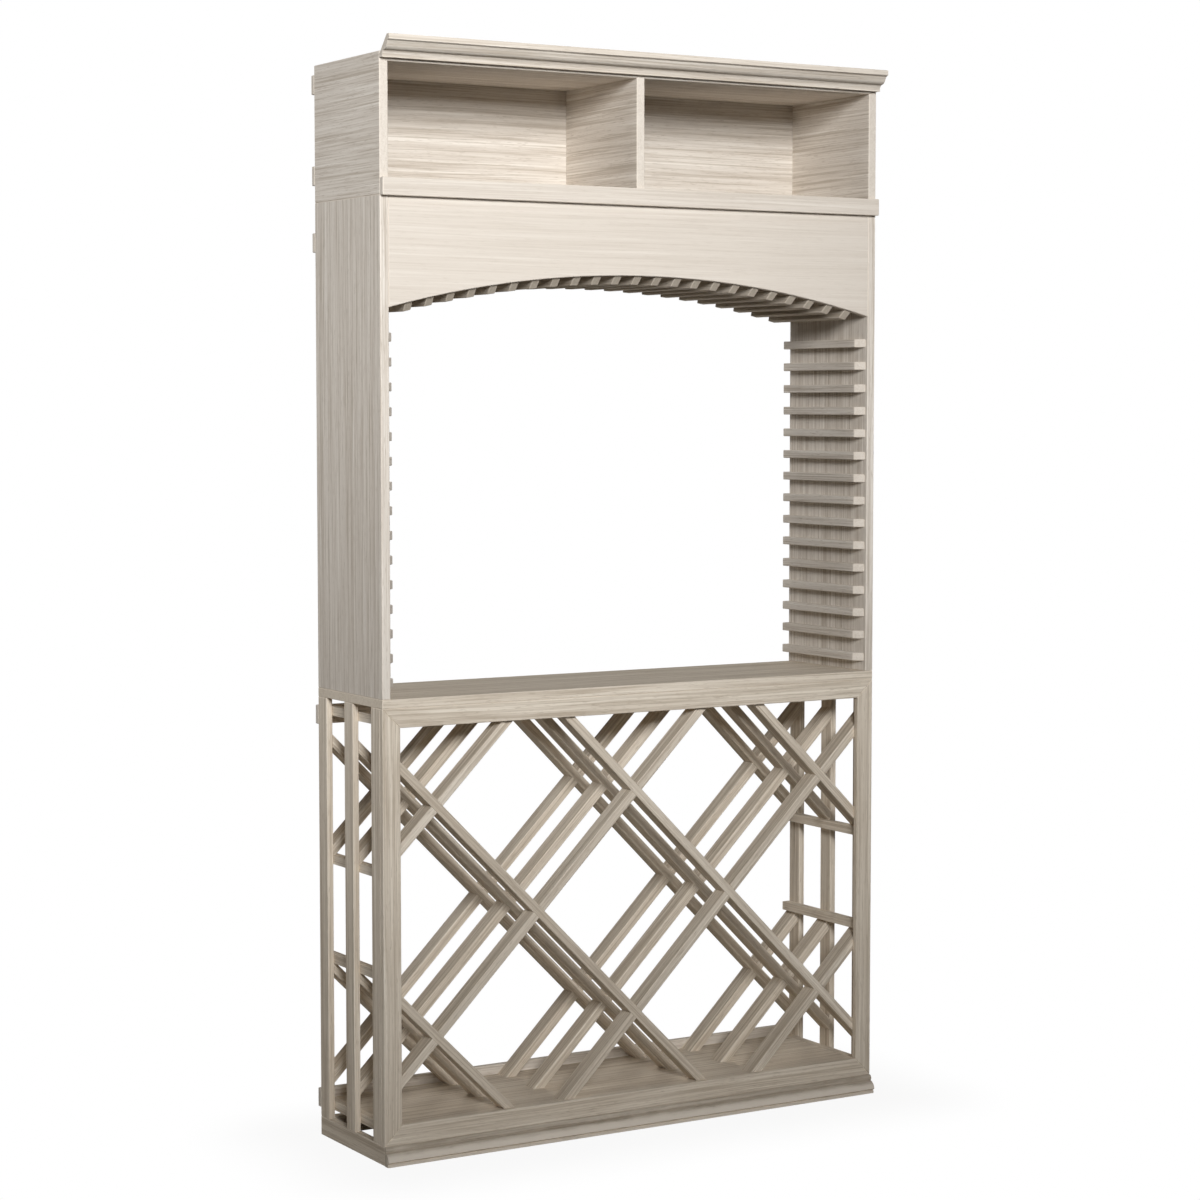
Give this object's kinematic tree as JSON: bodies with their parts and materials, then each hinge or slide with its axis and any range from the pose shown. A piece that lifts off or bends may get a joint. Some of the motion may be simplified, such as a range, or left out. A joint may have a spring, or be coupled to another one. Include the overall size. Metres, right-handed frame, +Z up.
{
  "type": "wine tasting station",
  "caption": "Free-standing washed oak tasting station: diamond lattice base, open table tier under an arch of fanned slats, and a divided top box with lip rail and crown moulding.",
  "frame": {"origin": "on the floor, at the centre of the footprint over everything, crown and back rails included", "axes": "+Z up, +X to the right of someone who faces the front, the front faces -Y"},
  "size_m": [1.16, 0.339, 2.162],
  "materials": {
    "washed_oak": "grey-beige wash, matt, fine straight grain",
    "oak_ply": "grey-beige wash, matt, oak-faced ply"
  },
  "bodies": {
    "root": {"arch_panel": "washed_oak", "arch_rear_board": "washed_oak", "arch_slats": "washed_oak", "back_rail_arch": "washed_oak", "back_rail_base_bottom": "washed_oak", "back_rail_base_top": "washed_oak", "back_rail_box_bottom": "washed_oak", "back_rail_box_top": "washed_oak", "base_moulding": "washed_oak", "bin_floor": "washed_oak", "box_back": "oak_ply", "box_divider": "washed_oak", "box_floor": "washed_oak", "box_left_side": "washed_oak", "box_right_side": "washed_oak", "box_top": "washed_oak", "cleats_left": "washed_oak", "cleats_right": "washed_oak", "crown_moulding": "washed_oak", "frame_bottom_rail": "washed_oak", "frame_left_stile": "washed_oak", "frame_right_stile": "washed_oak", "frame_top_rail": "washed_oak", "lattice_front_falling": "washed_oak", "lattice_front_rising": "washed_oak", "lattice_middle_falling": "washed_oak", "lattice_middle_rising": "washed_oak", "lattice_rear_falling": "washed_oak", "lattice_rear_rising": "washed_oak", "lip_rail": "washed_oak", "plinth_front": "washed_oak", "plinth_left": "washed_oak", "plinth_rear": "washed_oak", "plinth_right": "washed_oak", "post_left_front": "washed_oak", "post_left_middle": "washed_oak", "post_left_rear": "washed_oak", "post_right_front": "washed_oak", "post_right_middle": "washed_oak", "post_right_rear": "washed_oak", "side_rail_left_bottom": "washed_oak", "side_rail_left_lower": "washed_oak", "side_rail_left_top": "washed_oak", "side_rail_left_upper": "washed_oak", "side_rail_right_bottom": "washed_oak", "side_rail_right_lower": "washed_oak", "side_rail_right_top": "washed_oak", "side_rail_right_upper": "washed_oak", "table_top": "washed_oak", "upright_left": "washed_oak", "upright_right": "washed_oak"}
  },
  "joints": []
}
